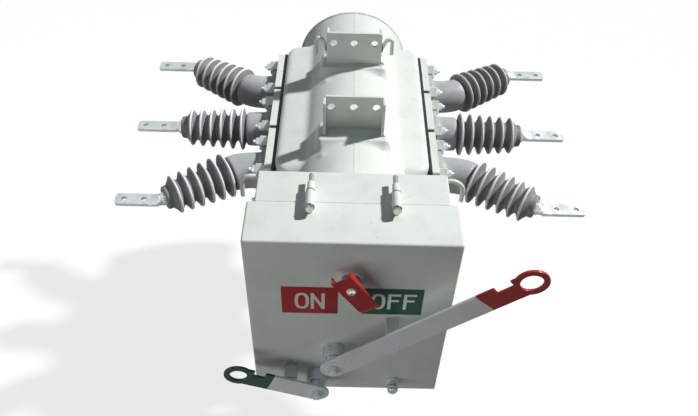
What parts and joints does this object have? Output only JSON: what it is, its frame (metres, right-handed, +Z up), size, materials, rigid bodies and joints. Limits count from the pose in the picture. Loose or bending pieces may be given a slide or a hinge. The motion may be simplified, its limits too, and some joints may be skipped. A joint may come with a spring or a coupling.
{
  "type": "pole-mounted gas insulated load break switch",
  "caption": "Welded gas tank with hangers on top, ribbed bushings with flat terminals on both sides, and a front housing with pointer and hook-stick levers.",
  "frame": {"origin": "on the front hanger's flat mounting face, midway across it, 32 mm below its row of bolt holes", "axes": "+X to the right seen from the lever side, +Y from the lever housing back along the tank and out of the front mounting face, +Z up"},
  "size_m": [1.0932, 0.981, 0.5685],
  "materials": {
    "housing_paint": "pale greenish grey gloss paint",
    "lever_paint": "grey paint, with red and green ends added as separate coats",
    "bushing_rubber": "satin grey silicone rubber",
    "seal_rubber": "matt black rubber",
    "tinned_metal": "bright tinned",
    "zinc_plate": "zinc plated",
    "signal_red": "red gloss paint"
  },
  "bodies": {
    "switch_body": {"tank_shell": "housing_paint", "tank_front_end": "housing_paint", "tank_rear_end": "housing_paint", "mechanism_frame": "housing_paint", "mechanism_cover": "housing_paint", "hanger_pads": "housing_paint", "front_hanger": "housing_paint", "rear_hanger": "housing_paint", "lifting_hooks": "housing_paint", "lifting_lugs": "housing_paint", "bushing_gaskets": "seal_rubber", "bushing_clamps": "housing_paint", "bushing_plate_left_front": "housing_paint", "bushing_left_front": "bushing_rubber", "terminal_left_front": "tinned_metal", "bushing_plate_left_middle": "housing_paint", "bushing_left_middle": "bushing_rubber", "terminal_left_middle": "tinned_metal", "bushing_plate_left_rear": "housing_paint", "bushing_left_rear": "bushing_rubber", "terminal_left_rear": "tinned_metal", "bushing_plate_right_front": "housing_paint", "bushing_right_front": "bushing_rubber", "terminal_right_front": "tinned_metal", "bushing_plate_right_middle": "housing_paint", "bushing_right_middle": "bushing_rubber", "terminal_right_middle": "tinned_metal", "bushing_plate_right_rear": "housing_paint", "bushing_right_rear": "bushing_rubber", "terminal_right_rear": "tinned_metal", "cover_sleeves": "housing_paint", "frame_sleeves": "housing_paint", "main_stop": "housing_paint", "short_stop": "housing_paint", "draw_bolts": "zinc_plate", "main_bush": "zinc_plate", "short_bush": "zinc_plate", "indicator_bush": "zinc_plate", "earth_stud": "zinc_plate"},
    "main_lever_arm": {"main_shaft": "zinc_plate", "main_lever": "lever_paint", "main_bolt": "zinc_plate"},
    "short_lever_arm": {"short_shaft": "zinc_plate", "short_lever": "lever_paint", "short_bolt": "zinc_plate"},
    "indicator": {"indicator_shaft": "zinc_plate", "indicator_pointer": "signal_red"}
  },
  "joints": [
    {"name": "main_lever_turn", "type": "hinge", "parent": "switch_body", "child": "main_lever_arm", "pos_m": [-0.032, -0.432, -0.3445], "axis": [0, 1, 0], "range_deg": [0, 90]},
    {"name": "short_lever_turn", "type": "hinge", "parent": "switch_body", "child": "short_lever_arm", "pos_m": [-0.068, -0.432, -0.4435], "axis": [0, -1, 0], "range_deg": [0, 60]},
    {"name": "indicator_turn", "type": "hinge", "parent": "switch_body", "child": "indicator", "pos_m": [0, -0.419, -0.0935], "axis": [0, 1, 0], "range_deg": [0, 68]}
  ]
}
